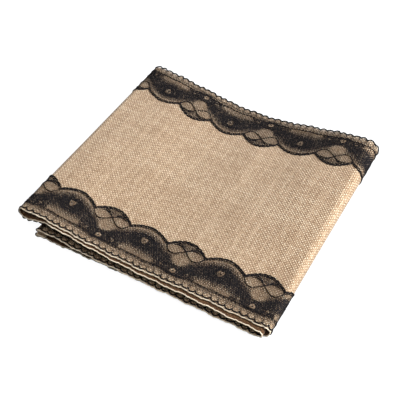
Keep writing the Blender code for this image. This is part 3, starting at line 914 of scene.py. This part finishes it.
def weave():
    """Natural jute: colour and height of a plain weave, in flat cloth coordinates."""
    made, tree, shader = finish_of("woven_natural_jute", Roughness=0.92, Specular_IOR_Level=0.25,
                                   Sheen_Weight=0.30, Sheen_Roughness=0.5)

    def maths(operation, *values):
        return add(tree, "Math", dict(enumerate(values)), operation=operation).outputs[0]

    flat = add(tree, "UVMap", uv_map="flat").outputs[0]
    wobble = add(tree, "TexNoise", {"Vector": flat, "Scale": 160.0, "Detail": 2.0}).outputs["Color"]
    centred = add(tree, "VectorMath", {0: wobble, 1: (0.5, 0.5, 0.5)}, operation="SUBTRACT").outputs[0]
    sway = add(tree, "VectorMath", {0: centred, "Scale": THREAD_SWAY}, operation="SCALE").outputs[0]
    bent = add(tree, "VectorMath", {0: flat, 1: sway}, operation="ADD").outputs[0]
    counts = add(tree, "VectorMath", {0: bent, "Scale": THREADS_PER_METRE}, operation="SCALE").outputs[0]
    split = add(tree, "SeparateXYZ", {0: counts})
    x, y = split.outputs[0], split.outputs[1]
    a = maths("SINE", maths("MULTIPLY", x, np.pi))
    b = maths("SINE", maths("MULTIPLY", y, np.pi))
    ab = maths("MULTIPLY", a, b)
    lengthwise = maths("ADD", maths("ABSOLUTE", b), ab)
    crosswise = maths("SUBTRACT", maths("ABSOLUTE", a), ab)
    top = maths("MAXIMUM", lengthwise, crosswise)
    is_long = maths("GREATER_THAN", lengthwise, crosswise)

    def strand(count, along, spread, seed):
        """A tone for each thread, and one that changes slowly along it."""
        index = maths("FLOOR", count)
        own = add(tree, "TexWhiteNoise", {"W": maths("ADD", index, seed)}, noise_dimensions="1D").outputs[0]
        slow, apart = maths("MULTIPLY", along, 0.09), maths("MULTIPLY", index, 3.7)
        place = add(tree, "CombineXYZ", {0: slow, 1: apart, 2: seed}).outputs[0]
        slub = add(tree, "TexNoise", {"Vector": place, "Scale": 1.0, "Detail": 3.0,
                                      "Roughness": 0.7}).outputs[0]
        return maths("MULTIPLY_ADD", own, spread, maths("MULTIPLY_ADD", slub, 1.1, 0.22 - spread / 2))

    long_tone = strand(y, x, LONG_SPREAD, seed=5.0)
    cross_tone = strand(x, y, CROSS_SPREAD, seed=91.0)
    tone = add(tree, "Mix", {0: is_long, 2: cross_tone, 3: long_tone}).outputs[0]
    grain = add(tree, "TexNoise", {"Vector": counts, "Scale": 2.6, "Detail": 3.0,
                                   "Roughness": 0.7}).outputs[0]
    crossing = add(tree, "VectorMath", {0: counts}, operation="FLOOR").outputs[0]
    knot = add(tree, "TexWhiteNoise", {"Vector": crossing}, noise_dimensions="2D").outputs[0]
    cloud = add(tree, "TexNoise", {"Vector": flat, "Scale": 22.0, "Detail": 2.0}).outputs[0]
    shade = maths("MULTIPLY_ADD", grain, GRAIN, maths("MULTIPLY", cloud, CLOUD))
    shade = maths("ADD", maths("MULTIPLY_ADD", tone, TONE, shade), SHADE_BASE)
    # Painted light and shade: ab makes the lengthwise floats paler and the crosswise ones darker.
    shade = maths("MULTIPLY_ADD", knot, KNOT, maths("MULTIPLY_ADD", ab, FLOAT, shade))
    ramp = add(tree, "ValToRGB", {0: shade})
    stops = ramp.color_ramp.elements
    stops[0].position, stops[0].color = 0.40, linear(JUTE_DARK)
    stops[1].position, stops[1].color = 0.98, linear(JUTE_LIGHT)
    middle = stops.new(0.68)
    middle.color = linear(JUTE_MIDDLE)
    # Painted shade: the colour darkens where the threads dip low, between four crossings.
    gap = add(tree, "MapRange", {0: top, 1: 0.32, 2: 1.12, 3: 1.0, 4: 0.0}, clamp=True).outputs[0]
    colour = add(tree, "Mix", {0: maths("MULTIPLY", gap, GAP_PAINTED_SHADE_STRENGTH), 6: ramp.outputs[0],
                               7: linear(JUTE_GAP_PAINTED_SHADE)}, data_type="RGBA").outputs[2]
    # Painted shade: the wrong side, which shows inside the folds, is multiplied darker brown.
    wrong_side = add(tree, "Attribute", attribute_name="wrong_side").outputs["Fac"]
    colour = add(tree, "Mix", {0: wrong_side, 6: colour, 7: linear(WRONG_SIDE_PAINTED_SHADE)}, data_type="RGBA",
                 blend_type="MULTIPLY").outputs[2]
    tree.links.new(colour, shader.inputs["Base Color"])
    fuzz = maths("MULTIPLY_ADD", grain, 0.55, maths("MULTIPLY_ADD", ab, 0.30, top))
    bump = add(tree, "Bump", {"Height": fuzz, "Strength": 0.42, "Distance": 0.0007})
    tree.links.new(bump.outputs[0], shader.inputs["Normal"])
    return made


jute = weave()

# %% [markdown]
# ## Loose jute fibre, lace and thread
#
# Single jute fibres and the edge yarns are painted paler than the cloth: painted light, for the
# light they catch where nothing shades them. The lace is nylon, dyed black: it is matt and a
# little grey where it catches light. Sewing thread is polyester, which shines a little more. None
# of them is one flat colour: the dye and the fibre vary along each thread. A plain colour would be
# quicker, but one noise pattern, at the scale of a millimetre or two, gives that variation and a
# fine bump to all of them.

# %% Fibre, lace and thread


def spun(name, dark, light, scale, roughness, gloss, sheen):
    """Colour that drifts between two tones along the thread, with a fine bump."""
    made, tree, shader = finish_of(name, Roughness=roughness, Specular_IOR_Level=gloss, Sheen_Weight=sheen,
                                   Sheen_Roughness=0.5)
    place = add(tree, "TexCoord").outputs["Object"]
    drift = add(tree, "TexNoise", {"Vector": place, "Scale": scale, "Detail": 3.0,
                                   "Roughness": 0.65}).outputs[0]
    spread = add(tree, "MapRange", {0: drift, 1: 0.3, 2: 0.7, 3: 0.0, 4: 1.0}).outputs[0]
    colour = add(tree, "Mix", {0: spread, 6: linear(dark), 7: linear(light)}, data_type="RGBA").outputs[2]
    tree.links.new(colour, shader.inputs["Base Color"])
    bump = add(tree, "Bump", {"Height": drift, "Strength": 0.3, "Distance": 0.0003})
    tree.links.new(bump.outputs[0], shader.inputs["Normal"])
    return made


# Painted light: the fibre's tones are paler than the cloth, for the light that the edge yarns and loose
# fibres catch.
fibre = spun("pale_jute_fibre_painted_light", "#e4cca8", "#fff2de", 900.0, 0.85, 0.2, 0.05)
nylon = spun("black_nylon_lace", "#0c0c0e", "#2b2727", 480.0, 0.95, 0.08, 0.0)
black_polyester = spun("black_polyester_thread", "#141416", "#26262a", 800.0, 0.6, 0.25, 0.0)
tan_polyester = spun("tan_polyester_thread", "#a9865c", "#caa77c", 800.0, 0.6, 0.3, 0.05)

# %% [markdown]
# ## Ties to the imported model
#
# Each piece rides on the one rigid body.

# %% Bodies and materials


def settle(made, material, slot, *replaced):
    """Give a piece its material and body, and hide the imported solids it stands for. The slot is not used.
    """
    made.data.materials.append(material)
    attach(made, "root")
    if replaced:
        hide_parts(*replaced)
    return made


settle(cloth, jute, "jute", "jute_cloth")
settle(edge_yarns, fibre, "jute")
settle(hairs, fibre, "jute")
for node_name, row in stitch_pieces.items():
    if "hem" in node_name:
        settle(row, tan_polyester, "tan_thread", node_name)
    else:
        settle(row, black_polyester, "black_thread", node_name)
for side in TRIMS:
    for made in lace_cord_pieces[side]:
        settle(made, nylon, "lace", f"{side}_lace_trim")
    for span, (first, last) in SPANS.items():
        made = settle(pieces[f"{side}_lace_net_{span}"], nylon, "lace", f"{side}_lace_trim")
print("pieces:", len(pieces))

# %% [markdown]
# ## Floor, light and camera
#
# The runner lies on a plain pale floor in soft studio light. A plane would end in a dark horizon
# when it is seen from low down, so the floor is a wide bowl: flat in the middle, and rising far
# away. It glows a little, as an overexposed white floor does, and throws no light on the cloth. The
# key light stands low on the right, so the right fold is the brightest place. A broad fill is high
# in front, a weak one low on the left, and the sky is bright above and darkens downwards.

# %% Floor
FLAT_RADIUS, BOWL_RADIUS = 3.0, 6.0
ring = np.linspace(0, 2 * np.pi, 96, endpoint=False)[None, :]
radius = np.concatenate([[0.0, 1.0, FLAT_RADIUS], np.linspace(3.2, BOWL_RADIUS, 15)])[:, None]
rise = 0.5 * np.clip(radius - FLAT_RADIUS, 0, None) ** 2 - MM / 5
bowl = np.stack(np.broadcast_arrays(radius * np.cos(ring), radius * np.sin(ring), rise), axis=-1)
floor_mesh = bpy.data.meshes.new("floor")
floor_mesh.from_pydata(bowl.reshape(-1, 3).tolist(), [], quads(*bowl.shape[:2], wrap_columns=True).tolist())
floor_mesh.shade_smooth()
floor = bpy.data.objects.new("floor", floor_mesh)
bpy.context.scene.collection.objects.link(floor)
floor_paint, _, _ = finish_of("matt_white_board", Base_Color=linear("#808080"), Roughness=0.95,
                              Specular_IOR_Level=0.1, Emission_Color=(1, 1, 1, 1), Emission_Strength=0.93)
floor_mesh.materials.append(floor_paint)
floor.visible_diffuse = floor.visible_glossy = floor.visible_shadow = False

# %% Lights
BRIGHTEST_SKY = (0.25, 0.45, 0.857)          # the direction where the sky is brightest
DARK_SKY, BRIGHT_SKY = 0.03, 0.535

world = bpy.data.worlds.new("studio")
world.use_nodes = True
sky = world.node_tree
direction = add(sky, "TexCoord").outputs["Generated"]
towards = add(sky, "VectorMath", {0: direction, 1: BRIGHTEST_SKY}, operation="DOT_PRODUCT").outputs["Value"]
glow = add(sky, "MapRange", {0: towards, 1: 0.25, 2: 0.85, 3: DARK_SKY, 4: BRIGHT_SKY}).outputs[0]
sky.links.new(glow, sky.nodes["Background"].inputs["Strength"])
sky.nodes["Background"].inputs["Color"].default_value = (1.0, 1.0, 1.0, 1.0)
bpy.context.scene.world = world
bpy.context.scene.view_settings.view_transform = "Standard"


def softbox(name, place, size, power, colour="#ffffff"):
    """A square area light that faces the middle of the bundle, in metres and watts."""
    light = bpy.data.lights.new(name, "AREA")
    light.size, light.energy, light.color = size, power, linear(colour)[:3]
    made = bpy.data.objects.new(name, light)
    back = np.array(place) / np.linalg.norm(place)
    side = np.cross([0, 0, 1], back)
    side /= np.linalg.norm(side)
    turn = Matrix(np.stack([side, np.cross(back, side), back], axis=1).tolist())
    made.matrix_world = Matrix.Translation(place) @ turn.to_4x4()
    bpy.context.scene.collection.objects.link(made)


softbox("key", (1.74, 0.45, 0.84), 1.1, 86.0, "#f6faff")
softbox("fill", (0.0, -0.80, 2.0), 0.9, 9.5)
softbox("side", (-1.70, 0.20, 0.70), 0.9, 9.0)

# %% Camera
azimuth, elevation, roll = np.radians([29.56, 47.61, -0.435])
target, distance = np.array([0.0012, -0.0128, 0.0]), 1.051
forward = np.array([-np.sin(azimuth) * np.cos(elevation), np.cos(azimuth) * np.cos(elevation),
                    -np.sin(elevation)])
level = np.array([np.cos(azimuth), np.sin(azimuth), 0.0])
above = np.cross(level, forward)
right = np.cos(roll) * level + np.sin(roll) * above
up = -np.sin(roll) * level + np.cos(roll) * above
camera_data = bpy.data.cameras.new("camera")
camera_data.lens, camera_data.sensor_width = 79.4, 36.0
camera = bpy.data.objects.new("camera", camera_data)
turn = Matrix(np.stack([right, up, -forward], axis=1).tolist())
camera.matrix_world = Matrix.Translation((target - forward * distance).tolist()) @ turn.to_4x4()
bpy.context.scene.collection.objects.link(camera)
bpy.context.scene.camera = camera
